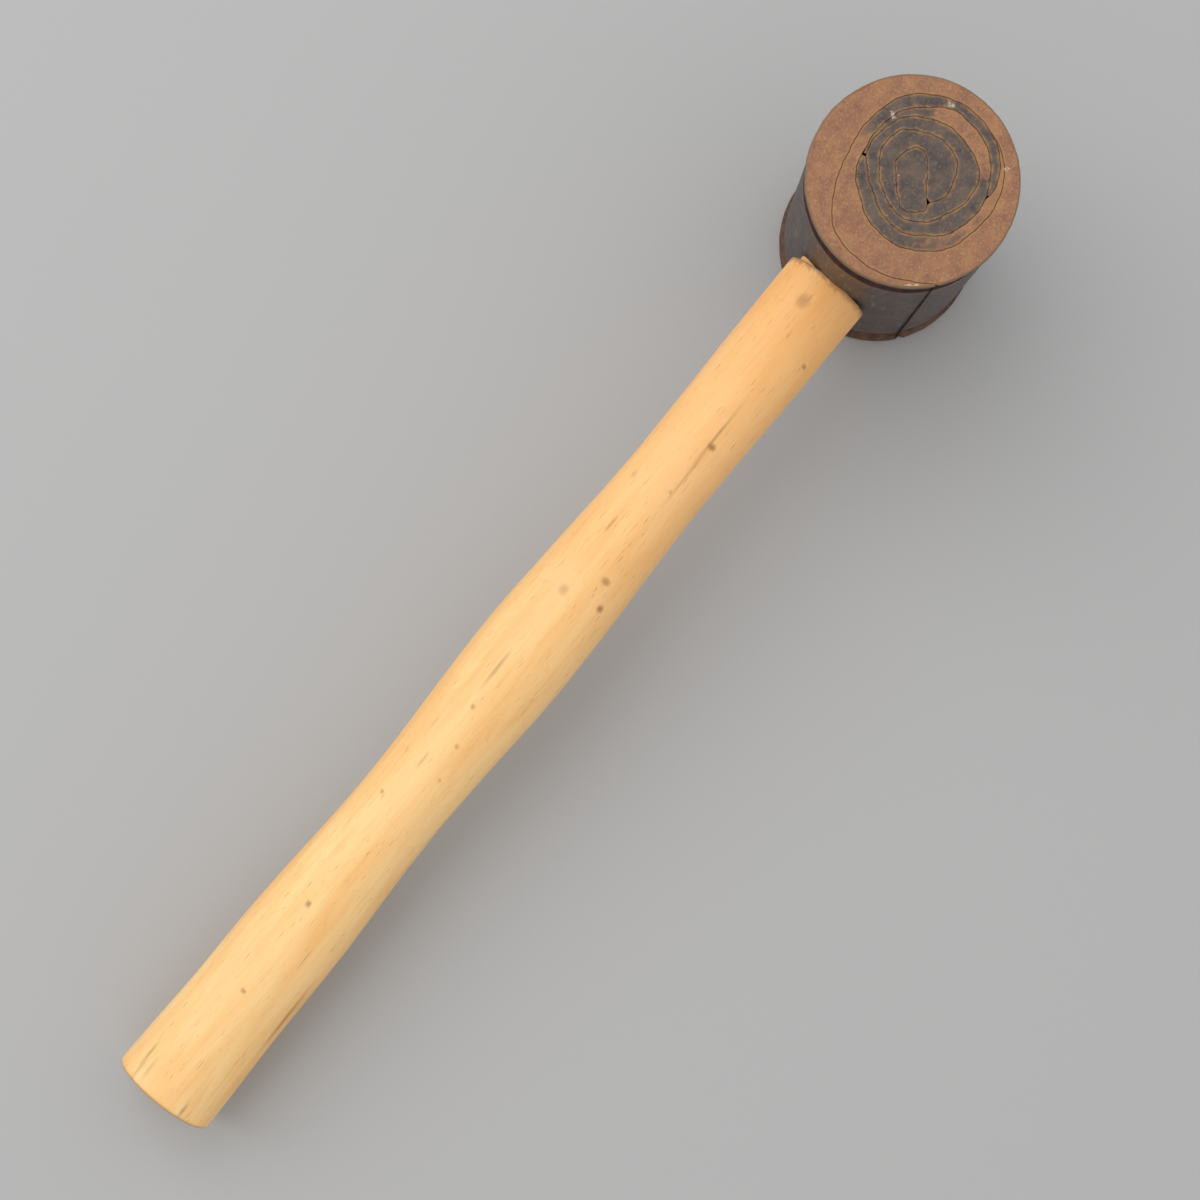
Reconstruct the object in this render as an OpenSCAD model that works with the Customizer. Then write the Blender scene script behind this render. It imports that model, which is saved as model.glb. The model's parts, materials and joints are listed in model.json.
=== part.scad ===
// Rawhide mallet, lying on its butt and on the rim of its lower face.
// Each piece is drawn in the mallet's own axes: X along the handle towards the head,
// Z along the head, zero where the two cross. lie() then leans it onto the floor.

/* [Head] */
// Diameter of the upper striking face
upper_face_d = 50.8; // [48:0.1:58]
// Diameter of the lower striking face
lower_face_d = 51.6; // [48:0.1:58]
// Length of the head from face to face
head_len = 81.5; // [60:0.5:110]
// Diameter of the head between its grooves
body_d = 50; // [47:0.1:56]
// Height of the lip that blows have spread at each face
lip_h = 1.7; // [1.2:0.1:4]
// Width of the groove behind each lip
groove_w = 7; // [2.4:0.1:8]
// Height over which each side of the groove slopes
groove_slope = 0.7; // [0.3:0.1:1.1]
// Depth of the groove below the head's side
groove_deep = 1.1; // [0.4:0.1:1.6]
// Radius worn onto the edge of each face
face_edge_r = 0.7; // [0.2:0.1:1.1]

/* [Roll] */
// Thickness of the hide, by which the seams below are drawn
hide_t = 4; // [3.7:0.05:4.2]
// Glue line between two turns
glue_t = 0.12; // [0.08:0.01:0.2]
// How far the roll is turned in the head
roll_turn = 0; // [-180:5:180]

/* [Handle] */
// Length of the handle from its butt to its shoulder
grip_len = 258.3; // [200:0.5:320]
// Diameter of the butt
butt_d = 27; // [23:0.1:34]
// Diameter of the straight grip
grip_d = 25.6; // [22:0.1:32]
// Distance from the butt to the end of its flare
grip_from = 30; // [20:0.5:36]
// Distance from the butt to where the waist begins
grip_to = 44; // [38:0.5:56]
// Diameter of the waist
waist_d = 22.4; // [19:0.1:26]
// Distance from the butt to the waist
waist_at = 93; // [80:0.5:108]
// Diameter of the swell
swell_d = 25.5; // [22:0.1:32]
// Distance from the butt to the swell
swell_at = 140; // [125:0.5:155]
// Diameter of the neck
neck_d = 21.7; // [20.4:0.1:26]
// Distance from the butt to the middle of the neck
neck_at = 199; // [180:0.5:215]
// Diameter of the shoulder that seats on the head
shoulder_d = 22.8; // [21:0.1:27]
// Length of the even stretch behind the shoulder
shoulder_len = 18; // [8:0.5:22]
// Radius worn onto the edge of the butt
butt_edge_r = 0.8; // [0.3:0.1:3]

/* [Eye] */
// Diameter of the handle's tenon in the head
tenon_d = 19; // [14:0.1:20]
// Clearance round the tenon and the shoulder
eye_clear = 0.1; // [0.05:0.01:0.2]
// How far the eye is bored to one side of the head's middle
eye_side = 1.4; // [-3:0.1:3]
// How deep the shoulder is let into the head's side
seat_deep = 0.6; // [0.3:0.1:1.5]
// How far the tenon stands out on the far side
tenon_proud = 0.8; // [0.3:0.1:2.5]

/* [Wedge] */
// Length of the wedge inside the tenon
wedge_len = 20; // [12:0.5:26]
// Thickness of the wedge at the tenon's end
wedge_t = 3.6; // [2:0.1:5]
// Thickness of the wedge at its tip
wedge_tip_t = 0.9; // [0.5:0.1:1.5]
// Depth of the saw cut past the wedge's tip
kerf_past = 5; // [2:0.5:10]
// How far the wedge stands out of the tenon
wedge_proud = 0.5; // [0.2:0.1:1.5]
// Clearance of the wedge in its cut
wedge_clear = 0.05; // [0.03:0.01:0.1]

/* [Hidden] */
$fn = 96;

head_half = head_len / 2;
body_r = body_d / 2;
shoulder_x = -(body_r - seat_deep) - eye_clear;
butt_x = shoulder_x - grip_len;
tenon_end_x = body_r + tenon_proud;

// The lean: the lower face's rim and the butt's edge reach the floor together
rim_x = lower_face_d / 2 - face_edge_r;
rim_z = head_half - face_edge_r;
butt_edge_x = -butt_x - butt_edge_r;
butt_edge_z = butt_d / 2 - butt_edge_r;
run = butt_edge_x - rim_x;
rise = rim_z - butt_edge_z;
lean = atan2(rise, run) + asin((face_edge_r - butt_edge_r) / norm([run, rise]));
floor_z = -sin(lean) * rim_x - cos(lean) * rim_z - face_edge_r;
front_x = cos(lean) * rim_x + sin(lean) * rim_z + face_edge_r;
back_x = -cos(lean) * butt_edge_x - sin(lean) * butt_edge_z - butt_edge_r;
middle_x = (front_x + back_x) / 2;

// The seams, read off the striking face: [angle from the head's far side, thicknesses of hide]
// This one runs from the folded core outwards, past the inner strip, to the lap in the rim
long_seam = [
    [258, 1.65], [284, 2.1], [309, 2.4], [339, 2.87], [375, 2.95], [399, 2.98], [413, 3.05],
    [439, 2.68], [467, 2.12], [489, 1.93], [519, 1.83], [549, 2.1], [589, 2.48], [624, 2.8],
    [657, 3.55], [670, 3.88], [699, 3.85], [734, 3.82], [766, 3.75], [797, 3.4], [824, 3.05],
    [834, 2.74], [849, 2.55], [864, 2.43], [879, 2.45], [909, 2.82], [939, 3.2], [954, 3.33],
    [969, 3.67], [999, 4.12], [1014, 4.37], [1024, 4.85], [1038, 5.15], [1059, 5.4], [1082, 5.38],
    [1119, 5.1], [1149, 4.5], [1174, 4.15], [1194, 4.2], [1209, 4.43], [1224, 4.87], [1239, 5.35],
    [1269, 5.68], [1291, 5.82], [1304, 6.05], [1314, 6.35], [1326, 6.9], [1340, 7.7]];
// Between the end of the inner strip and the start of the outer one
lap_seam = [
    [1014, 4.37], [1032, 4.53], [1059, 4.8], [1077, 4.78], [1090, 4.8], [1107, 4.45],
    [1129, 4.13], [1149, 3.73], [1169, 3.4], [1180, 3.3]];
// The outer side of the tongue
tongue_seam = [
    [824, 3.4], [834, 3.38], [849, 3.3], [869, 3.25], [889, 3.45], [909, 3.68], [949, 4.23],
    [969, 4.48], [993, 4.68], [1014, 5.05], [1029, 5.33], [1046, 5.42], [1059, 5.42]];
// The outline of the folded core
core_seam = [
    [-51, 0.78], [-21, 0.98], [-1, 1.3], [15, 1.77], [29, 2], [47, 1.82], [75, 1.58],
    [99, 1.18], [124, 0.96], [149, 1.02], [179, 1.3], [194, 1.72], [214, 1.85], [232, 1.87],
    [245, 1.8], [256, 1.3], [284, 0.85], [309, 0.78], [339, 0.98]];

// Where each strip starts and ends along the seams
turn = 360;
inner_start_angle = 258;
inner_end_angle = 1174;
tongue_start_angle = 824;
tongue_end_angle = 1044;
outer_start_angle = 1018;
tongue_on_angle = tongue_start_angle + turn;
tongue_off_angle = last_angle(tongue_seam) + turn;
outer_end_angle = last_angle(long_seam) + turn;
past_rim = 8.2;
seam_step = 12;
function last_angle(seam) = seam[len(seam) - 1][0];

// Height of a smooth curve through a seam's points at one angle
function knot(seam, a) = max([for (k = [0:len(seam) - 2]) if (seam[k][0] <= a || k == 0) k]);
function slope(seam, k) = let (
    low = max(k - 1, 0),
    high = min(k + 1, len(seam) - 1)
) (seam[high][1] - seam[low][1]) / (seam[high][0] - seam[low][0]);
function seam_at(seam, a) = let (
    k = knot(seam, a),
    span = seam[k + 1][0] - seam[k][0],
    s = (a - seam[k][0]) / span,
    bend = span * (s * (1 - s) * (1 - s) * slope(seam, k) - s * s * (1 - s) * slope(seam, k + 1))
) seam[k][1] + (seam[k + 1][1] - seam[k][1]) * s * s * (3 - 2 * s) + bend;

function seam_r(seam, a) = hide_t * seam_at(seam, a);
function steps(from, to) = let (
    first = ceil(from / seam_step + 0.2),
    last = floor(to / seam_step - 0.2)
) [from, each [for (k = [first:last]) k * seam_step], to];
function polar(r, a) = [r * cos(a), r * sin(a)];
function reversed(list) = [for (k = [len(list) - 1:-1:0]) list[k]];

function core_r(a) = seam_r(core_seam, (a - core_seam[1][0]) % turn + core_seam[1][0]);
function inner_in_r(a) =
    a < inner_start_angle + turn - 2 * seam_step ? core_r(a) :
    a < inner_start_angle + turn ? max(core_r(a), seam_r(long_seam, inner_start_angle)) :
    seam_r(long_seam, a - turn);
function inner_out_r(a) = a < lap_seam[0][0] ? seam_r(long_seam, a) : seam_r(lap_seam, a);
function outer_in_r(a) =
    a < inner_end_angle ? seam_r(lap_seam, a) :
    a < tongue_on_angle ? seam_r(lap_seam, inner_end_angle) :
    a < tongue_off_angle ? seam_r(tongue_seam, a - turn) : seam_r(long_seam, a - turn);
function outer_out_r(a) = a < outer_end_angle - turn ? seam_r(long_seam, a) : past_rim * hide_t;

// One side of a piece of hide, kept off its seam by half the glue line, and a strip's two sides
function side_line(angles, r_at, hand) = [for (a = angles) polar(r_at(a) + hand * glue_t / 2, a)];
function strip_line(from, to, out_r, in_r) = let (
    angles = steps(from, to)
) concat(side_line(angles, out_r, -1), reversed(side_line(angles, in_r, 1)));

module lie() {
    translate([-middle_x, 0, -floor_z])
        rotate([0, -lean, 0])
            children();
}

// The head's outline from its middle to one face, in radius and height
module half_outline(face_d) {
    face_r = face_d / 2;
    groove_r = body_r - groove_deep;
    lip_z = head_half - lip_h;
    edge = [for (a = [0:15:90]) [face_r - face_edge_r + face_edge_r * cos(a), rim_z + face_edge_r * sin(a)]];
    polygon(concat(
        [[0, 0], [body_r, 0], [body_r, lip_z - groove_w], [groove_r, lip_z - groove_w + groove_slope]],
        [[groove_r, lip_z - groove_slope], [face_r, lip_z]],
        edge,
        [[0, head_half]]));
}

module head_form() {
    rotate_extrude() half_outline(upper_face_d);
    mirror([0, 0, 1]) rotate_extrude() half_outline(lower_face_d);
}

// A cylinder along the handle, set at the eye
module along_handle(from_x, to_x, d) {
    translate([from_x, eye_side, 0])
        rotate([0, 90, 0])
            cylinder(d = d, h = to_x - from_x);
}

module eye() {
    along_handle(-upper_face_d, upper_face_d, tenon_d + 2 * eye_clear);
    along_handle(-upper_face_d, shoulder_x + eye_clear, shoulder_d + 2 * eye_clear);
}

// One piece of the roll, cut to the head's form and bored for the handle
module hide_piece(outline) {
    lie() difference() {
        intersection() {
            translate([0, 0, -head_half])
                linear_extrude(head_len)
                    rotate(roll_turn)
                        polygon(outline);
            head_form();
        }
        eye();
    }
}

module core_fold() {
    color("#5b4d42")
        hide_piece(side_line([0:seam_step:turn - seam_step], function (a) core_r(a), -1));
}

module inner_strip() {
    color("#6a5748")
        hide_piece(strip_line(inner_start_angle, inner_end_angle,
            function (a) inner_out_r(a), function (a) inner_in_r(a)));
}

module tongue_strip() {
    color("#54463f")
        hide_piece(strip_line(tongue_start_angle, tongue_end_angle,
            function (a) seam_r(tongue_seam, a), function (a) seam_r(long_seam, a)));
}

module outer_strip() {
    color("#9a6b4a")
        hide_piece(strip_line(outer_start_angle, outer_end_angle,
            function (a) outer_out_r(a), function (a) outer_in_r(a)));
}

// The handle's diameters, by distance from the butt
stations = [
    [butt_edge_r, butt_d], [grip_from, grip_d], [grip_to, grip_d], [waist_at, waist_d],
    [swell_at, swell_d], [neck_at, neck_d], [grip_len - shoulder_len, shoulder_d]];
station_steps = 8;

function eased(s) = s * s * (3 - 2 * s);
function grip_side() = [for (k = [0:len(stations) - 2], s = [0:station_steps - 1])
    let (here = stations[k], next = stations[k + 1], f = s / station_steps)
        [(here[1] + (next[1] - here[1]) * eased(f)) / 2, butt_x + here[0] + (next[0] - here[0]) * f]];

module handle() {
    edge = [for (a = [90:-15:15]) [
        butt_d / 2 - butt_edge_r + butt_edge_r * cos(a), butt_x + butt_edge_r - butt_edge_r * sin(a)]];
    outline = concat(
        [[0, butt_x]],
        edge,
        grip_side(),
        [[shoulder_d / 2, shoulder_x - shoulder_len], [shoulder_d / 2, shoulder_x]],
        [[tenon_d / 2, shoulder_x], [tenon_d / 2, tenon_end_x], [0, tenon_end_x]]);
    color("#e0a466") lie() difference() {
        translate([0, eye_side, 0])
            rotate([0, 90, 0])
                rotate_extrude() polygon(outline);
        wedge_form(wedge_clear, tenon_d);
        kerf();
    }
}

// The wedge's taper, seen along the head, with a clearance all round and a height
module wedge_form(clear, high) {
    tip_x = tenon_end_x - wedge_len;
    end_x = tenon_end_x + wedge_proud;
    grow = (wedge_t - wedge_tip_t) / 2 * wedge_proud / wedge_len;
    translate([0, eye_side, 0])
        linear_extrude(high + 2, center = true)
            polygon([
                [tip_x - clear, wedge_tip_t / 2 + clear], [end_x, wedge_t / 2 + grow + clear],
                [end_x, -wedge_t / 2 - grow - clear], [tip_x - clear, -wedge_tip_t / 2 - clear]]);
}

module kerf() {
    translate([tenon_end_x - wedge_len - kerf_past, eye_side - wedge_tip_t / 2, -tenon_d])
        cube([wedge_len + kerf_past, wedge_tip_t, 2 * tenon_d]);
}

module handle_wedge() {
    color("#c98d52") lie() intersection() {
        wedge_form(0, tenon_d);
        along_handle(0, body_r + upper_face_d, tenon_d);
    }
}

core_fold();
inner_strip();
tongue_strip();
outer_strip();
handle();
handle_wedge();
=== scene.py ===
"""A rawhide mallet lying on a pale grey floor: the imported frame, dressed to look like the photograph."""

import json
import math

import bmesh
import bpy
import numpy as np
from mathutils import Matrix, Vector


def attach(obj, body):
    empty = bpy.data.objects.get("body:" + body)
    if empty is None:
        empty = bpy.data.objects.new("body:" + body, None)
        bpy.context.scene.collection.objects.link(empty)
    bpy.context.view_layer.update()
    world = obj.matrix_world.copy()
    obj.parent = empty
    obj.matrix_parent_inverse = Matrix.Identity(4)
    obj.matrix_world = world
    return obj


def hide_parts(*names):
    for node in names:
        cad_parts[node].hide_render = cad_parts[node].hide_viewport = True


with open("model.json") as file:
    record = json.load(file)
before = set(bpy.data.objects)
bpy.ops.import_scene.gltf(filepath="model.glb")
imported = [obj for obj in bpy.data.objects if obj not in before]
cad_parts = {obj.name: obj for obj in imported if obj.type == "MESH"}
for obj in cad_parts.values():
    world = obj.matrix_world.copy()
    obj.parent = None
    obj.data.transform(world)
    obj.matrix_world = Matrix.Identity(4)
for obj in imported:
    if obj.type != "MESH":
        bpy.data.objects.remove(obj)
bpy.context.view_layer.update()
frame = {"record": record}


# The floor: a plain grey sheet of paper under the mallet, lit by one broad soft lamp from the far
# side and by an even pale room.
def colour(red, green, blue):
    """A colour given as a screen shows it, for a shader's socket."""
    linear = []
    for shown in (red, green, blue):
        if shown < 10.4:
            linear.append(shown / 255 / 12.92)
        else:
            linear.append(((shown / 255 + 0.055) / 1.055) ** 2.4)
    return (*linear, 1)


floor_half = 3
floor_corners = [(-floor_half, -floor_half, 0), (floor_half, -floor_half, 0),
                 (floor_half, floor_half, 0), (-floor_half, floor_half, 0)]
floor_mesh = bpy.data.meshes.new("floor")
floor_mesh.from_pydata(floor_corners, [], [(0, 1, 2, 3)])
floor = bpy.data.objects.new("floor", floor_mesh)
bpy.context.scene.collection.objects.link(floor)
paper = bpy.data.materials.new("grey_paper")
paper.use_nodes = True
paper_shader = paper.node_tree.nodes["Principled BSDF"]
paper_shader.inputs["Base Color"].default_value = colour(181, 181, 181)
paper_shader.inputs["Roughness"].default_value = 0.9
paper_shader.inputs["Specular IOR Level"].default_value = 0.1
floor_mesh.materials.append(paper)

lamp_place = Vector((-0.05, 0.75, 1.0))
lamp_aim = Vector((0.05, 0, 0))
lamp = bpy.data.lights.new("window", "AREA")
lamp.size = 1.3
lamp.energy = 7.4
window = bpy.data.objects.new("window", lamp)
window.location = lamp_place
window.rotation_euler = (lamp_aim - lamp_place).to_track_quat("-Z", "Y").to_euler()
bpy.context.scene.collection.objects.link(window)
room = bpy.data.worlds.new("room")
room.use_nodes = True
room.node_tree.nodes["Background"].inputs["Color"].default_value = (1, 1, 1, 1)
room.node_tree.nodes["Background"].inputs["Strength"].default_value = 0.75
bpy.context.scene.world = room


# The camera looks down on the mallet from over its middle, turned so that the handle runs up the
# picture from left to right.
camera_place = (-0.0792, -0.0231, 0.6444)
forward = Vector((0.1378, 0.0300, -0.9900)).normalized()
picture_up = Vector((0.7632, 0.6339, 0.1254))
picture_up = (picture_up - forward * picture_up.dot(forward)).normalized()
picture_right = forward.cross(picture_up)
lens = bpy.data.cameras.new("camera")
lens.lens = 75
lens.sensor_width = 36
camera = bpy.data.objects.new("camera", lens)
camera_turn = Matrix((picture_right, picture_up, -forward)).transposed().to_4x4()
camera.matrix_world = Matrix.Translation(camera_place) @ camera_turn
bpy.context.scene.collection.objects.link(camera)
bpy.context.scene.camera = camera
bpy.context.scene.view_settings.view_transform = "Standard"


# The roll: wet strips of rawhide wound tight round a folded core, glued, pressed and lacquered, then
# turned to a cylinder with a groove behind each face. The handle's tenon goes through its eye.

# The mallet's own axes, taken from the frame: along the handle to the head, across it, and up the
# head, with zero where handle and head cross. Every piece is drawn in them, in millimetres.
MM = 0.001
mounts = {mount["name"]: mount for mount in frame["record"]["mounts"]}
upper_face = Vector(mounts["upper_face"]["pos_m"])
lower_face = Vector(mounts["lower_face"]["pos_m"])
up_head = Vector(mounts["upper_face"]["axis"]).normalized()
to_head = Vector((up_head.z, 0, -up_head.x))
eye_centre = (upper_face + lower_face) / 2
head_half = (upper_face - lower_face).length / 2 * 1000


def placed(points):
    """Points in the mallet's own millimetres, laid down in the frame in metres."""
    p = np.asarray(points, float)
    axes = np.array([to_head, (0, 1, 0), up_head])
    return p @ axes * MM + np.array(eye_centre)


# The seams, as lists of [angle, thicknesses of hide], the same as in the part's source. One long
# seam is the outside of the inner strip and then of the outer strip; the lap lies between the two.
hide = 4.0
glue = 0.04
long_points = [
    [258, 1.65], [284, 2.1], [309, 2.4], [339, 2.87], [375, 2.95], [399, 2.98], [413, 3.05],
    [439, 2.68], [467, 2.12], [489, 1.93], [519, 1.83], [549, 2.1], [589, 2.48], [624, 2.8],
    [657, 3.55], [670, 3.88], [699, 3.85], [734, 3.82], [766, 3.75], [797, 3.4], [824, 3.05],
    [834, 2.74], [849, 2.55], [864, 2.43], [879, 2.45], [909, 2.82], [939, 3.2], [954, 3.33],
    [969, 3.67], [999, 4.12], [1014, 4.37], [1024, 4.85], [1038, 5.15], [1059, 5.4], [1082, 5.38],
    [1119, 5.1], [1149, 4.5], [1174, 4.15], [1194, 4.2], [1209, 4.43], [1224, 4.87], [1239, 5.35],
    [1269, 5.68], [1291, 5.82], [1304, 6.05], [1314, 6.35], [1326, 6.9], [1340, 7.7]]
lap_points = [
    [1014, 4.37], [1032, 4.53], [1059, 4.8], [1077, 4.78], [1090, 4.8], [1107, 4.45],
    [1129, 4.13], [1149, 3.73], [1169, 3.4], [1180, 3.3]]
tongue_points = [
    [824, 3.4], [834, 3.38], [849, 3.3], [869, 3.25], [889, 3.45], [909, 3.68], [949, 4.23],
    [969, 4.48], [993, 4.68], [1014, 5.05], [1029, 5.33], [1046, 5.42], [1059, 5.42]]
core_points = [
    [-51, 0.78], [-21, 0.98], [-1, 1.3], [15, 1.77], [29, 2], [47, 1.82], [75, 1.58],
    [99, 1.18], [124, 0.96], [149, 1.02], [179, 1.3], [194, 1.72], [214, 1.85], [232, 1.87],
    [245, 1.8], [256, 1.3], [284, 0.85], [309, 0.78], [339, 0.98]]


def seam(points):
    """The radius of a seam at any angle: a smooth curve through its points, with a slight wander."""
    angles = np.array([p[0] for p in points], float)
    heights = np.array([p[1] for p in points], float)
    low = np.maximum(np.arange(len(points)) - 1, 0)
    high = np.minimum(np.arange(len(points)) + 1, len(points) - 1)
    slopes = (heights[high] - heights[low]) / (angles[high] - angles[low])

    def radius(a):
        a = np.asarray(a, float)
        k = np.clip(np.searchsorted(angles, a, side="right") - 1, 0, len(angles) - 2)
        span = angles[k + 1] - angles[k]
        s = np.clip((a - angles[k]) / span, 0, 1)
        bend = span * (s * (1 - s) ** 2 * slopes[k] - s * s * (1 - s) * slopes[k + 1])
        wander = (0.10 * np.sin(np.radians(a * 9 + 40)) + 0.07 * np.sin(np.radians(a * 23))
                  + 0.04 * np.sin(np.radians(a * 51)))
        return hide * (heights[k] + (heights[k + 1] - heights[k]) * s * s * (3 - 2 * s) + bend) + wander
    return radius


long_seam = seam(long_points)
lap_seam = seam(lap_points)
tongue_seam = seam(tongue_points)
core_seam = seam(core_points)

# Where one seam hands over to the next, in degrees round the roll
full_turn = 360
core_first = -21
inner_start = 258
climb_over_start = 24
lap_start, lap_end = 1014, 1174
tongue_start, tongue_end = 824, 1059
outside_from = 1340
past_rim = 8.2


def core_r(a):
    return core_seam((np.asarray(a, float) - core_first) % full_turn + core_first)


def inner_in(a):
    over_start = np.maximum(core_r(a), long_seam(inner_start))
    first_turn = np.where(a < inner_start + full_turn - climb_over_start, core_r(a), over_start)
    return np.where(a < inner_start + full_turn, first_turn, long_seam(a - full_turn))


def inner_out(a):
    return np.where(a < lap_start, long_seam(a), lap_seam(a))


def outer_in(a):
    later = np.where(a < tongue_end + full_turn, tongue_seam(a - full_turn), long_seam(a - full_turn))
    over_lap = np.where(a < tongue_start + full_turn, lap_seam(lap_end), later)
    return np.where(a < lap_end, lap_seam(a), over_lap)


def outer_out(a):
    return np.where(a < outside_from, long_seam(a), past_rim * hide)


upper_r, lower_r, body_r = 25.4, 25.8, 25.0
lip_h = 1.7
groove_w = 7
groove_deep = 1.1
groove_slope = 0.7
rim_round = 0.7


def head_r(w):
    """The head's radius at a height: straight side, a turned groove behind each lip, and the lip."""
    face_r = np.where(w > 0, upper_r, lower_r)
    h = np.abs(w)
    lip = head_half - lip_h
    groove_r = body_r - groove_deep
    below = np.interp(h, [lip - groove_w, lip - groove_w + groove_slope, lip - groove_slope],
                      [body_r, groove_r, groove_r])
    rise = np.clip((h - (lip - groove_slope)) / groove_slope, 0, 1)
    into_round = np.clip(h - (head_half - rim_round), 0, rim_round)
    rounding = rim_round - np.sqrt(np.maximum(rim_round ** 2 - into_round ** 2, 0))
    return below + (face_r - below) * rise - rounding


# The three kinds of surface on a strip, and how it is trimmed where it meets the next one
WALL, FACE, SIDE = 0, 1, 2
off_seam = 0.3
far_off = 9
thinnest = 0.03
wall_under = 0.02
bare_within = 0.35
below_bare, below_seam = 0.05, 0.3
seam_round, seam_drop = 0.22, 0.8
lip_rows = np.array([0.05, 0.15, 0.3, 0.5, 0.7, 1.0, 1.3, 1.65])
groove_rows = lip_h + np.array([0.1, 0.35, 0.7, 1.2, 2, 3, 4, 5, 5.8, 6.3, 6.5, 6.7, 6.85,
                                7, 7.15, 7.5, 8.2, 9.2])
near_face = np.concatenate([lip_rows, groove_rows])
straight = head_half - lip_h - groove_w - 4
down_rows = np.concatenate([head_half - near_face, np.linspace(straight, -straight, 26),
                            near_face[::-1] - head_half])
wall_rows = np.linspace(-head_half + off_seam, head_half - off_seam, 9)


def strip_mesh(start, end, inner, outer, closed, across):
    """A strip as rings of points: up its inner side, over the upper face, down the outside, back under."""
    ring_every = 1.5
    angles = np.linspace(start, end, max(24, int((end - start) / ring_every)), endpoint=not closed)
    over = 0.5 - 0.5 * np.cos(np.pi * np.linspace(0, 1, across))
    under = 0.5 - 0.5 * np.cos(np.pi * np.linspace(0, 1, 12))
    points, gaps, kinds = [], [], []
    for a in angles:
        ri = float(inner(a)) + glue / 2 if inner is not None else 0.0
        ro = float(outer(a)) - glue / 2
        ro = max(ro, ri + thinnest)
        rows = []
        if inner is not None:
            for w in wall_rows:
                rows.append((min(ri, float(head_r(w)) - wall_under), w, off_seam, WALL))
        for side, spread in ((1, over), (-1, under[::-1])):
            face_r = upper_r if side > 0 else lower_r
            bare = ro > face_r - bare_within
            top = face_r - rim_round if bare else ro
            low = min(ri, top - wall_under)
            if side < 0:
                below = below_bare if bare else below_seam
                for w in down_rows:
                    w = max(min(w, head_half - below), below - head_half)
                    r = min(ro, float(head_r(w)))
                    r = max(r, min(ri, float(head_r(w)) - wall_under))
                    rows.append((r, w, off_seam, SIDE if r < ro else WALL))
            for t in spread:
                r = low + (top - low) * t
                from_inner = r - low if inner is not None else far_off
                from_outer = far_off if bare else top - r
                gap = min(from_inner, from_outer)
                drop = seam_round - math.sqrt(max(seam_round ** 2 - max(seam_round - gap, 0) ** 2, 0))
                rows.append((r, side * (head_half - drop * seam_drop), gap, FACE))
        for r, w, gap, kind in rows:
            points.append((r * math.cos(math.radians(a)), r * math.sin(math.radians(a)), w))
            gaps.append(gap)
            kinds.append(kind)
    total = len(angles)
    count = len(points) // total
    faces = []
    for i in range(total if closed else total - 1):
        j = (i + 1) % total
        for k in range(count if inner is not None else count - 1):
            m = (k + 1) % count
            faces.append((i * count + k, j * count + k, j * count + m, i * count + m))
    if not closed:
        faces.append(tuple(range(count)))
        faces.append(tuple((total - 1) * count + k for k in range(count - 1, -1, -1)))
    return np.array(points), faces, np.array(gaps, float), np.array(kinds), np.repeat(angles, count)


def ripple(points, scale, seed):
    """Soft uneven heights from 0 to 1 over points in millimetres, with bumps about `scale` across."""
    waves = 7
    random = np.random.default_rng(seed)
    total = np.zeros(len(points))
    for octave in range(3):
        turns = random.normal(size=(waves, 3))
        turns *= 2 * math.pi / (scale / 2 ** octave) / np.linalg.norm(turns, axis=1)[:, None]
        phases = random.uniform(0, 2 * math.pi, waves)
        total += np.sin(points @ turns.T + phases).sum(1) / waves / 1.6 ** octave
    return np.clip(0.5 + total * 0.6, 0, 1)


def worn(points, kinds, seed):
    """Hammered and dried hide: shallow dimples in the faces and slow hollows down the side, inward only."""
    dimple, face_hollow, side_hollow = 0.10, 0.12, 0.16
    points = points.copy()
    r = np.hypot(points[:, 0], points[:, 1])
    fine = ripple(points, 3.0, seed)
    slow = ripple(points * [1, 1, 0.35], 9.0, seed + 5)
    on_face = kinds == FACE
    points[on_face, 2] -= np.sign(points[on_face, 2]) * (dimple * fine + face_hollow * slow)[on_face]
    on_side = kinds == SIDE
    shrink = 1 - (dimple * fine + side_hollow * slow) / np.maximum(r, 1)
    points[on_side, :2] *= shrink[on_side, None]
    return points


# An angle round the head, plus these degrees, is the angle at which the picture shows it
picture_turn = 51


def stain_at(turned, strip):
    """How dark the shellac and grime have made the end grain, from 0 on the rim to 1 in the middle."""
    def until(angle, end, blend):
        return np.clip((end - angle) / blend, 0, 1)

    if strip == "outer":
        first_part = until(turned, end=1181, blend=30)
        darker = until((turned + picture_turn) % full_turn, end=150, blend=40)
        return np.maximum(first_part * 0.9, darker * first_part)
    if strip == "tongue":
        fades_from, fades_over = 900, 140
        return np.clip(1 - (turned - fades_from) / fades_over, 0.15, 0.85)
    if strip == "inner":
        tan_from, blend = 1026, 14
        tan_band = np.clip((turned - tan_from) / blend, 0, 1) * until(turned, end=1112, blend=blend)
        return 0.95 - 0.7 * tan_band
    return np.ones(len(turned))


# Pale patches on the upper face: from and to an angle in the picture, nearest and farthest out
pale_patches = [
    (103, 111, 14, 18.5), (239, 241.5, 21.3, 22.9), (232, 236, 9.3, 10.6), (152, 166, 3.1, 4.1),
    (261, 279, 23.9, 25.4), (58, 69, 18.8, 21.2), (4, 10, 20.6, 23.6)]


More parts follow.
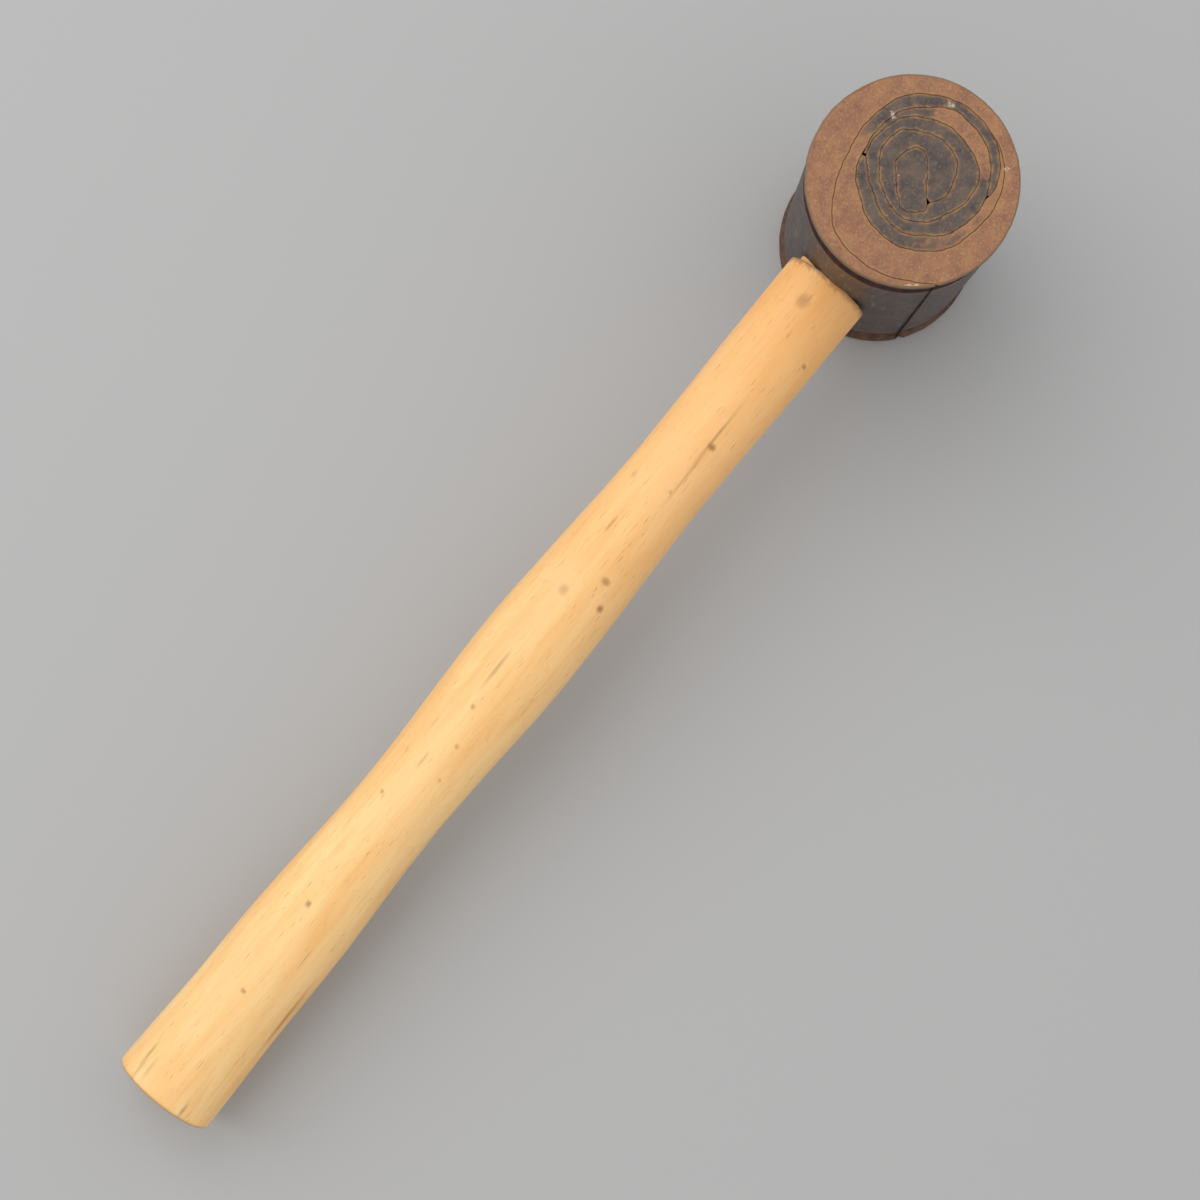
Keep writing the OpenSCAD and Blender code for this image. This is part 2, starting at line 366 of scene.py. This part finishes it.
def pale_at(points, kinds):
    """Where blows have broken the glaze and left pale fibres: patches in angle and distance out."""
    def within(values, low, high):
        return np.clip(1.6 - 1.6 * np.abs(values - (low + high) / 2) / ((high - low) / 2), 0, 1)

    out = np.hypot(points[:, 0], points[:, 1])
    seen = (np.degrees(np.arctan2(points[:, 1], points[:, 0])) + picture_turn) % full_turn
    pale = np.zeros(len(points))
    for angle_from, angle_to, near, far in pale_patches:
        pale = np.maximum(pale, within(seen, angle_from, angle_to) * within(out, near, far))
    return pale * (kinds == FACE) * (points[:, 2] > 0)


def math_node(tree, kind, a, b=None):
    node = tree.nodes.new("ShaderNodeMath")
    node.operation = kind
    for socket, value in zip(node.inputs, (a, b)):
        if value is None:
            continue
        if isinstance(value, (int, float)):
            socket.default_value = value
        else:
            tree.links.new(value, socket)
    return node.outputs[0]


def mix_node(tree, factor, first, second):
    node = tree.nodes.new("ShaderNodeMix")
    node.data_type = "RGBA"
    for name, value in (("Factor_Float", factor), ("A_Color", first), ("B_Color", second)):
        socket = next(s for s in node.inputs if s.identifier == name)
        if isinstance(value, (int, float, tuple)):
            socket.default_value = value
        else:
            tree.links.new(value, socket)
    return next(s for s in node.outputs if s.identifier == "Result_Color")


def noise_node(tree, vector, scale, stretch=(1, 1, 1), detail=4.0, rough=0.6, distort=0.0):
    turn = tree.nodes.new("ShaderNodeMapping")
    turn.inputs["Scale"].default_value = stretch
    tree.links.new(vector, turn.inputs["Vector"])
    node = tree.nodes.new("ShaderNodeTexNoise")
    tree.links.new(turn.outputs["Vector"], node.inputs["Vector"])
    node.inputs["Scale"].default_value = scale
    node.inputs["Detail"].default_value = detail
    node.inputs["Roughness"].default_value = rough
    node.inputs["Distortion"].default_value = distort
    return node.outputs["Fac"]


def ramp_node(tree, value, low, high):
    """0 below the low value, 1 above the high one, and even between."""
    node = tree.nodes.new("ShaderNodeMapRange")
    tree.links.new(value, node.inputs["Value"])
    node.inputs["From Min"].default_value = low
    node.inputs["From Max"].default_value = high
    return node.outputs["Result"]


def outside_node(tree, value, low, high):
    """1 below the low value, 0 above the high one."""
    return math_node(tree, "SUBTRACT", 1.0, ramp_node(tree, value, low, high))


def tint(tree, under, over, mask, low, high, amount=1.0):
    """The second colour laid over the first as the mask climbs from low to high."""
    cover = ramp_node(tree, mask, low, high)
    if amount < 1:
        cover = math_node(tree, "MULTIPLY", cover, amount)
    return mix_node(tree, cover, under, over)


def surface_group(name, marks, tones=()):
    """A shader group that turns a piece's marks into its colour, roughness and relief."""
    group = bpy.data.node_groups.new(name, "ShaderNodeTree")
    group.interface.new_socket(name="own", in_out="INPUT", socket_type="NodeSocketVector")
    for mark in marks:
        group.interface.new_socket(name=mark, in_out="INPUT", socket_type="NodeSocketFloat")
    for tone in tones:
        group.interface.new_socket(name=tone, in_out="INPUT", socket_type="NodeSocketColor")
    group.interface.new_socket(name="colour", in_out="OUTPUT", socket_type="NodeSocketColor")
    group.interface.new_socket(name="roughness", in_out="OUTPUT", socket_type="NodeSocketFloat")
    group.interface.new_socket(name="relief", in_out="OUTPUT", socket_type="NodeSocketFloat")
    return group, group.nodes.new("NodeGroupInput").outputs, group.nodes.new("NodeGroupOutput").inputs


def surface_material(name, group, marks, specular, strength, depth, tones=()):
    """A material that passes the piece's own marks through its group, and bumps the surface."""
    material = bpy.data.materials.new(name)
    material.use_nodes = True
    tree = material.node_tree
    shader = tree.nodes["Principled BSDF"]
    surface = tree.nodes.new("ShaderNodeGroup")
    surface.node_tree = group
    for mark in ("own", *marks):
        reader = tree.nodes.new("ShaderNodeAttribute")
        reader.attribute_name = mark
        tree.links.new(reader.outputs["Vector" if mark == "own" else "Fac"], surface.inputs[mark])
    for tone, value in tones:
        surface.inputs[tone].default_value = value
    tree.links.new(surface.outputs["colour"], shader.inputs["Base Color"])
    tree.links.new(surface.outputs["roughness"], shader.inputs["Roughness"])
    shader.inputs["Specular IOR Level"].default_value = specular
    bump = tree.nodes.new("ShaderNodeBump")
    bump.inputs["Strength"].default_value = strength
    bump.inputs["Distance"].default_value = depth
    tree.links.new(surface.outputs["relief"], bump.inputs["Height"])
    tree.links.new(bump.outputs["Normal"], shader.inputs["Normal"])
    return material


# Rawhide: end grain on the faces, dark lacquered skin down the side
hide_marks = ("stain", "gap", "side", "height", "pale")
rawhide, given, shown = surface_group("rawhide", hide_marks)
cloud = noise_node(rawhide, given["own"], 0.22, detail=5)
fleck = noise_node(rawhide, given["own"], 1.6, detail=6, rough=0.7)
grit = noise_node(rawhide, given["own"], 4.5, detail=3, rough=0.7)
blotch = noise_node(rawhide, given["own"], 0.5, detail=5, rough=0.65)
streak = noise_node(rawhide, given["own"], 1.1, (1, 1, 0.12), detail=5)

# The faces: brown at the rim, stained nearly black towards the middle, tan along worn seams
brown = tint(rawhide, colour(147, 101, 78), colour(175, 126, 86), cloud, 0.35, 0.65)
brown = tint(rawhide, brown, colour(136, 92, 78), blotch, 0.5, 0.7, 0.6)
brown = tint(rawhide, brown, colour(204, 162, 122), fleck, 0.5, 0.72, 0.7)
brown = tint(rawhide, brown, colour(112, 74, 60), grit, 0.52, 0.75, 0.7)
dark = tint(rawhide, colour(76, 68, 68), colour(108, 92, 82), cloud, 0.35, 0.65)
dark = tint(rawhide, dark, colour(132, 104, 80), blotch, 0.5, 0.68, 0.6)
dark = tint(rawhide, dark, colour(150, 130, 108), fleck, 0.52, 0.72, 0.7)
dark = tint(rawhide, dark, colour(54, 48, 50), grit, 0.52, 0.75, 0.7)
patchy = math_node(rawhide, "MULTIPLY", math_node(rawhide, "SUBTRACT", blotch, 0.5), 1.3)
face = tint(rawhide, brown, dark, math_node(rawhide, "ADD", given["stain"], patchy), 0.3, 0.75)
broken = ramp_node(rawhide, blotch, 0.36, 0.6)
tan_line = math_node(rawhide, "MULTIPLY", outside_node(rawhide, given["gap"], 0.12, 0.8), broken)
face = mix_node(rawhide, math_node(rawhide, "MULTIPLY", tan_line, 0.75), face, colour(178, 134, 84))
edge_line = outside_node(rawhide, given["gap"], 0.0, 0.2)
face = mix_node(rawhide, math_node(rawhide, "MULTIPLY", edge_line, 0.6), face, colour(74, 42, 28))
fibres = math_node(rawhide, "ADD", math_node(rawhide, "MULTIPLY", given["pale"], 0.5), fleck)
face = tint(rawhide, face, colour(222, 206, 184), fibres, 0.9, 1.06, 0.75)

# The side: streaked grey-brown skin, a tan shoulder, and the groove band painted dark: nearly black painted
# shade in the upper groove and brown in the lower
off_middle = math_node(rawhide, "ABSOLUTE", given["height"])
lip_at = head_half - lip_h
groove_at = lip_at - groove_w
skin = tint(rawhide, colour(58, 52, 54), colour(88, 68, 56), cloud, 0.35, 0.65)
skin = tint(rawhide, skin, colour(150, 138, 124), streak, 0.56, 0.72, 0.55)
skin = tint(rawhide, skin, colour(40, 32, 30), grit, 0.6, 0.8)
off_shoulder = math_node(rawhide, "SUBTRACT", off_middle, groove_at - 2.0)
shoulder = outside_node(rawhide, math_node(rawhide, "ABSOLUTE", off_shoulder), 0.1, 0.8)
shoulder = math_node(rawhide, "MULTIPLY", shoulder, math_node(rawhide, "MULTIPLY", broken, 0.7))
skin = mix_node(rawhide, shoulder, skin, colour(150, 112, 76))
# Painted shade: the upper groove's recess, and a strip of the side just below it, is coloured nearly black;
# the lower groove is a plain brown
groove_shade_black = tint(rawhide, colour(34, 8, 4), colour(74, 24, 8), blotch, 0.4, 0.6)
lower_groove_brown = tint(rawhide, colour(74, 50, 38), colour(108, 76, 54), blotch, 0.4, 0.6)
groove_shade_tone = tint(rawhide, lower_groove_brown, groove_shade_black, given["height"], -1, 1)
# Where the painted shade goes: from a little below the groove's far edge, up to the lip
groove_shade_band = math_node(rawhide, "MULTIPLY", ramp_node(rawhide, off_middle, groove_at - 1.7, groove_at - 1.1),
                   outside_node(rawhide, off_middle, lip_at - 0.1, lip_at + 0.2))
skin = mix_node(rawhide, groove_shade_band, skin, groove_shade_tone)
skin = tint(rawhide, skin, colour(150, 116, 82), off_middle, head_half - 1.0, head_half - 0.3, 0.85)

deep_wall = math_node(rawhide, "LESS_THAN", off_middle, head_half - 0.9)
all_over = mix_node(rawhide, math_node(rawhide, "MAXIMUM", given["side"], deep_wall), face, skin)
rawhide.links.new(all_over, shown["colour"])
dull = math_node(rawhide, "ADD", math_node(rawhide, "MULTIPLY", fleck, 0.35), 0.45)
lacquer = math_node(rawhide, "MULTIPLY", given["side"], 0.22)
rawhide.links.new(math_node(rawhide, "SUBTRACT", dull, lacquer), shown["roughness"])
grain = math_node(rawhide, "ADD", math_node(rawhide, "MULTIPLY", grit, 0.8), fleck)
rawhide.links.new(grain, shown["relief"])


def piece(name, points, faces, node, material, marks):
    """A closed mesh as a piece that rides the mallet and stands for its CAD node."""
    mesh = bpy.data.meshes.new(name)
    mesh.from_pydata(placed(points).tolist(), [], faces)
    own = mesh.attributes.new("own", "FLOAT_VECTOR", "POINT")
    own.data.foreach_set("vector", np.asarray(points, np.float32).ravel())
    for label, values in marks.items():
        layer = mesh.attributes.new(label, "FLOAT", "POINT")
        layer.data.foreach_set("value", np.asarray(values, np.float32))
    thing = bpy.data.objects.new(name, mesh)
    bpy.context.scene.collection.objects.link(thing)
    mesh.materials.append(material)
    clean = bmesh.new()
    clean.from_mesh(mesh)
    bmesh.ops.remove_doubles(clean, verts=clean.verts, dist=1e-6)
    bmesh.ops.recalc_face_normals(clean, faces=clean.faces)
    if clean.calc_volume(signed=True) < 0:
        bmesh.ops.reverse_faces(clean, faces=clean.faces)
    clean.to_mesh(mesh)
    clean.free()
    mesh.shade_smooth()
    mesh.set_sharp_from_angle(angle=math.radians(50))
    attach(thing, "root")
    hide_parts(node)
    return thing


def rod(from_x, to_x, radius, thick=None):
    """A cutter along the handle: round, or flat with a thickness."""
    length = to_x - from_x
    cutter = bmesh.new()
    if thick is None:
        bmesh.ops.create_cone(cutter, cap_ends=True, segments=72, radius1=radius, radius2=radius,
                              depth=length)
    else:
        bmesh.ops.create_cube(cutter, size=1)
        bmesh.ops.scale(cutter, vec=(thick, 2 * radius, length), verts=cutter.verts)
    points = [((from_x + to_x) / 2 + v.co.z, handle_y + v.co.x, v.co.y) for v in cutter.verts]
    for vertex, spot in zip(cutter.verts, placed(points)):
        vertex.co = spot
    bmesh.ops.recalc_face_normals(cutter, faces=cutter.faces)
    mesh = bpy.data.meshes.new("cutter")
    cutter.to_mesh(mesh)
    cutter.free()
    thing = bpy.data.objects.new("cutter", mesh)
    bpy.context.scene.collection.objects.link(thing)
    return thing


def bored(thing, cutter):
    """Takes the cutter out of the piece, and keeps the result unless it grew beyond the piece."""
    growth_allowed = 1e-5
    cut = thing.modifiers.new("bore", "BOOLEAN")
    cut.operation = "DIFFERENCE"
    cut.solver = "EXACT"
    cut.object = cutter
    done = bpy.data.meshes.new_from_object(thing.evaluated_get(bpy.context.evaluated_depsgraph_get()))
    thing.modifiers.clear()
    reach_before = max(v.co.x for v in thing.data.vertices)
    if max(v.co.x for v in done.vertices) <= reach_before + growth_allowed:
        thing.data = done
        done.name = thing.name
    bpy.data.objects.remove(cutter)


# The eye, and the flat seat for the handle's shoulder, a little to one side of the head's middle
handle_y = 1.4
eye_r = 9.6
eye_half = 40
seat_r = 11.5
seat_x = -24.4


def hide_piece(name, node, slot, strip, start, end, inner, outer, seed, across):
    closed = strip == "core"
    points, faces, gaps, kinds, turned = strip_mesh(start, end, inner, outer, closed, across)
    points = worn(points, kinds, seed)
    marks = {"stain": stain_at(turned, strip), "gap": gaps, "side": (kinds == SIDE).astype(float),
             "height": points[:, 2], "pale": pale_at(points, kinds)}
    material = surface_material(slot, rawhide, hide_marks, 0.4, 0.7, 0.0003)
    thing = piece(name, points, faces, node, material, marks)
    bored(thing, rod(-eye_half, eye_half, eye_r))
    bored(thing, rod(-eye_half, seat_x, seat_r))


hide_piece("folded_core", "core_fold", "hide_core", "core", 0, full_turn,
           None, core_r, 11, 18)
hide_piece("inner_winding", "inner_strip", "hide_inner", "inner", inner_start, 1179,
           inner_in, inner_out, 21, 16)
hide_piece("laid_in_tongue", "tongue_strip", "hide_tongue", "tongue", 822, 1058,
           long_seam, tongue_seam, 31, 14)
hide_piece("outer_winding", "outer_strip", "hide_outer", "outer", 1018, 1671,
           outer_in, outer_out, 41, 24)


# The handle: one turned and scraped length of pale hardwood, oiled darker towards the head, with a
# square shoulder against the hide, a tenon through the eye and the knocks of long use.
butt_x = -282.8
shoulder_x = -24.5
tenon_x = -24
tenon_end = 25.8
tenon_r = 9.5
shoulder_r = 11.4
tenon_end_r = 9.3
butt_flat_r = 12.7
butt_round = 0.8
grip_length = 258

# The turned outline: distance from the butt, width across
stations = [
    (0.8, 27), (30, 25.6), (44, 25.6), (93, 22.4), (140, 25.5), (199, 21.7), (240.3, 22.8), (258.3, 22.8)]


def grip_radius(x):
    """The handle's radius at a distance from the butt."""
    here = np.array([s[0] for s in stations])
    wide = np.array([s[1] for s in stations]) / 2
    k = np.clip(np.searchsorted(here, x, side="right") - 1, 0, len(here) - 2)
    s = np.clip((x - here[k]) / (here[k + 1] - here[k]), 0, 1)
    return wide[k] + (wide[k + 1] - wide[k]) * s * s * (3 - 2 * s)


profile = [(r, butt_x) for r in np.linspace(0.6, 12.6, 14)]
for t in np.linspace(0.2, math.pi / 2, 6):
    profile.append((butt_flat_r + butt_round * math.sin(t), butt_x + butt_round - butt_round * math.cos(t)))
profile += [(float(grip_radius(x)), butt_x + x) for x in np.linspace(1.3, 258.0, 470)]
profile += [(r, shoulder_x) for r in (shoulder_r, shoulder_r - 0.4, tenon_r)]
profile += [(tenon_r, x) for x in np.linspace(tenon_x, tenon_end - 0.3, 20)]
profile += [(tenon_end_r, tenon_end)]
profile += [(r, tenon_end) for r in np.linspace(8.5, 0.6, 8)]

around = 120
round_angles = np.arange(around) * 2 * math.pi / around
handle_points = np.array([(x, r * math.sin(t), r * math.cos(t)) for r, x in profile for t in round_angles])
handle_faces = []
for i in range(len(profile) - 1):
    for k in range(around):
        here, there = i * around, (i + 1) * around
        m = (k + 1) % around
        handle_faces.append((here + k, here + m, there + m, there + k))
butt_middle, tenon_middle = len(handle_points), len(handle_points) + 1
last_ring = (len(profile) - 1) * around
handle_faces += [(butt_middle, (k + 1) % around, k) for k in range(around)]
handle_faces += [(tenon_middle, last_ring + k, last_ring + (k + 1) % around) for k in range(around)]

# The scraper's long flats, only on the grip's skin
grip_skin = (handle_points[:, 0] < shoulder_x - 0.2) & (handle_points[:, 0] > butt_x + 0.5)
narrow_flats = 0.05 * ripple(handle_points * [0.08, 1, 1], 3.5, 71)
broad_flats = 0.10 * ripple(handle_points * [0.4, 1, 1], 14, 72)
scraped = np.where(grip_skin, narrow_flats + broad_flats, 0)
out = np.maximum(np.hypot(handle_points[:, 1], handle_points[:, 2]), 1)
handle_points[:, 1:] *= 1 - scraped[:, None] / out[:, None]
handle_points = np.vstack([handle_points, [(butt_x, 0, 0), (tenon_end, 0, 0)]])

# Knocks and bruises on the upper side: distance from the butt, place across, length, width, depth
knocks = [
    (250, 1.8, 5, 4, 0.5), (238, -8.5, 1.6, 1.4, 0.8), (208, -3.7, 2.2, 2.6, 0.9), (193, -2.8, 1.2, 1.2, 0.5),
    (166, -4.6, 2.5, 3, 0.7), (160, -7.6, 2.4, 2.0, 0.9), (158, 2.2, 3.5, 3, 0.4), (122, 1.1, 1.4, 1.3, 0.8),
    (112, -2, 1.4, 1.3, 0.6), (92, 5.2, 1.2, 1.2, 0.8), (103, -4, 1.3, 1.2, 0.6), (60, 1.5, 2.2, 1.6, 0.9),
    (34, 0.3, 1.4, 1.4, 0.9), (191, 7.0, 3, 1.5, 0.3), (178, 3.6, 6, 0.8, 0.6), (104, 2.6, 8, 0.7, 0.7)]
knock_depth = 0.22
from_butt = handle_points[:, 0] - butt_x
mark = np.zeros(len(handle_points))
for at, place, long, wide, deep in knocks:
    away = ((from_butt - at) / (long / 2)) ** 2 + ((handle_points[:, 1] - place) / (wide / 2)) ** 2
    spot = np.where((away < 1) & (handle_points[:, 2] > 0), 1 - away, 0)
    mark = np.maximum(mark, spot * deep)
handle_points[:, 2] -= mark * knock_depth
handle_points[:, 1] += handle_y

# Split lines: distance from the butt, place across, drift along their length, length
splits = [
    (34, -11.6, 0.02, 16), (6, 8.2, 0.06, 9), (5, 5.8, 0.02, 5), (3, -6.6, 0.1, 4), (206, -3, 0.03, 22),
    (132, 2.5, 0.03, 9)]
split_half = 0.45
split = np.zeros(len(handle_points))
for at, place, drift, long in splits:
    line = place + handle_y + drift * (from_butt - at)
    near = np.clip(1 - np.abs(handle_points[:, 1] - line) / split_half, 0, 1)
    fade = np.clip(1.2 - np.abs((from_butt - at) / long) * 1.4, 0, 1)
    split = np.maximum(split, near * fade * (handle_points[:, 2] > -3))

# Torn fibres along the shoulder's edge, and the dirty edge of the butt
ragged = 0.8 * ripple(handle_points, 2.0, 91) + 0.2
torn = np.clip(1 - (shoulder_x - handle_points[:, 0]) / (2.6 * ragged), 0, 1)
torn *= handle_points[:, 0] <= shoulder_x
end_line = np.clip(1 - np.abs(from_butt - 0.2) / 0.7, 0, 1)
wood_marks = {"mark": mark, "reach": np.clip(from_butt / grip_length, 0, 1),
              "crack": np.clip(torn * 0.75 + end_line * 0.55 + split * 0.6, 0, 1)}

# Straight-grained hardwood: pale and oiled tones along the handle, fine pores and grain lines
wood, given, shown = surface_group("hardwood", wood_marks, ("pale wood", "deep wood"))
broad = noise_node(wood, given["own"], 0.16, (0.12, 1, 1), detail=3, distort=0.4)
fibre = noise_node(wood, given["own"], 1.3, (0.05, 1, 1), detail=6, rough=0.7)
pore = noise_node(wood, given["own"], 3.4, (0.06, 1, 1), detail=2, rough=0.5)
cloud = noise_node(wood, given["own"], 0.06, (0.5, 1, 1), detail=3)
tone = tint(wood, given["pale wood"], given["deep wood"], broad, 0.35, 0.65)
tone = tint(wood, tone, colour(252, 178, 104), given["reach"], 0.3, 1.0, 0.6)
tone = tint(wood, tone, colour(226, 156, 88), fibre, 0.52, 0.72, 0.35)
tone = tint(wood, tone, colour(255, 208, 150), cloud, 0.45, 0.7, 0.4)
tone = tint(wood, tone, colour(140, 84, 40), pore, 0.66, 0.74, 0.55)
tone = mix_node(wood, math_node(wood, "MULTIPLY", given["mark"], 0.8), tone, colour(120, 66, 42))
tone = mix_node(wood, given["crack"], tone, colour(96, 52, 26))
wood.links.new(tone, shown["colour"])
dull = math_node(wood, "ADD", math_node(wood, "MULTIPLY", fibre, 0.25), 0.32)
wood.links.new(dull, shown["roughness"])
grain = math_node(wood, "SUBTRACT", fibre, math_node(wood, "MULTIPLY", pore, 0.8))
wood.links.new(grain, shown["relief"])


def wood_material(name, pale, deep):
    tones = (("pale wood", pale), ("deep wood", deep))
    return surface_material(name, wood, wood_marks, 0.35, 0.35, 0.0002, tones)


slot_length = 20
slot_width = 3.7
handle = piece("turned_handle", handle_points, handle_faces, "handle",
               wood_material("handle_wood", colour(255, 214, 148), colour(250, 194, 122)), wood_marks)
bored(handle, rod(tenon_end - slot_length, tenon_end + 5, 12, slot_width))


# The wedge: a sliver of darker hardwood driven across the end of the tenon, in the saw cut, and
# trimmed almost flush.
wedge_r = 9.45
wedge_levels = [(tenon_end - 19.9, 0.5), (tenon_end - 10, 1.2), (tenon_end + 0.5, 1.8)]
wedge_points = []
for x, half in wedge_levels:
    reach_up = math.sqrt(wedge_r ** 2 - half ** 2)
    for across, up in ((-half, -reach_up), (half, -reach_up), (half, reach_up), (-half, reach_up)):
        wedge_points.append((x, handle_y + across, up))
wedge_faces = [(0, 1, 2, 3), (11, 10, 9, 8)]
for level in (0, 4):
    for k in range(4):
        m = (k + 1) % 4
        wedge_faces.append((level + k, level + 4 + k, level + 4 + m, level + m))
unmarked = np.zeros(len(wedge_points))
piece("driven_wedge", np.array(wedge_points), wedge_faces, "handle_wedge",
      wood_material("wedge_wood", colour(206, 150, 92), colour(176, 118, 66)),
      {"mark": unmarked, "reach": unmarked, "crack": unmarked})
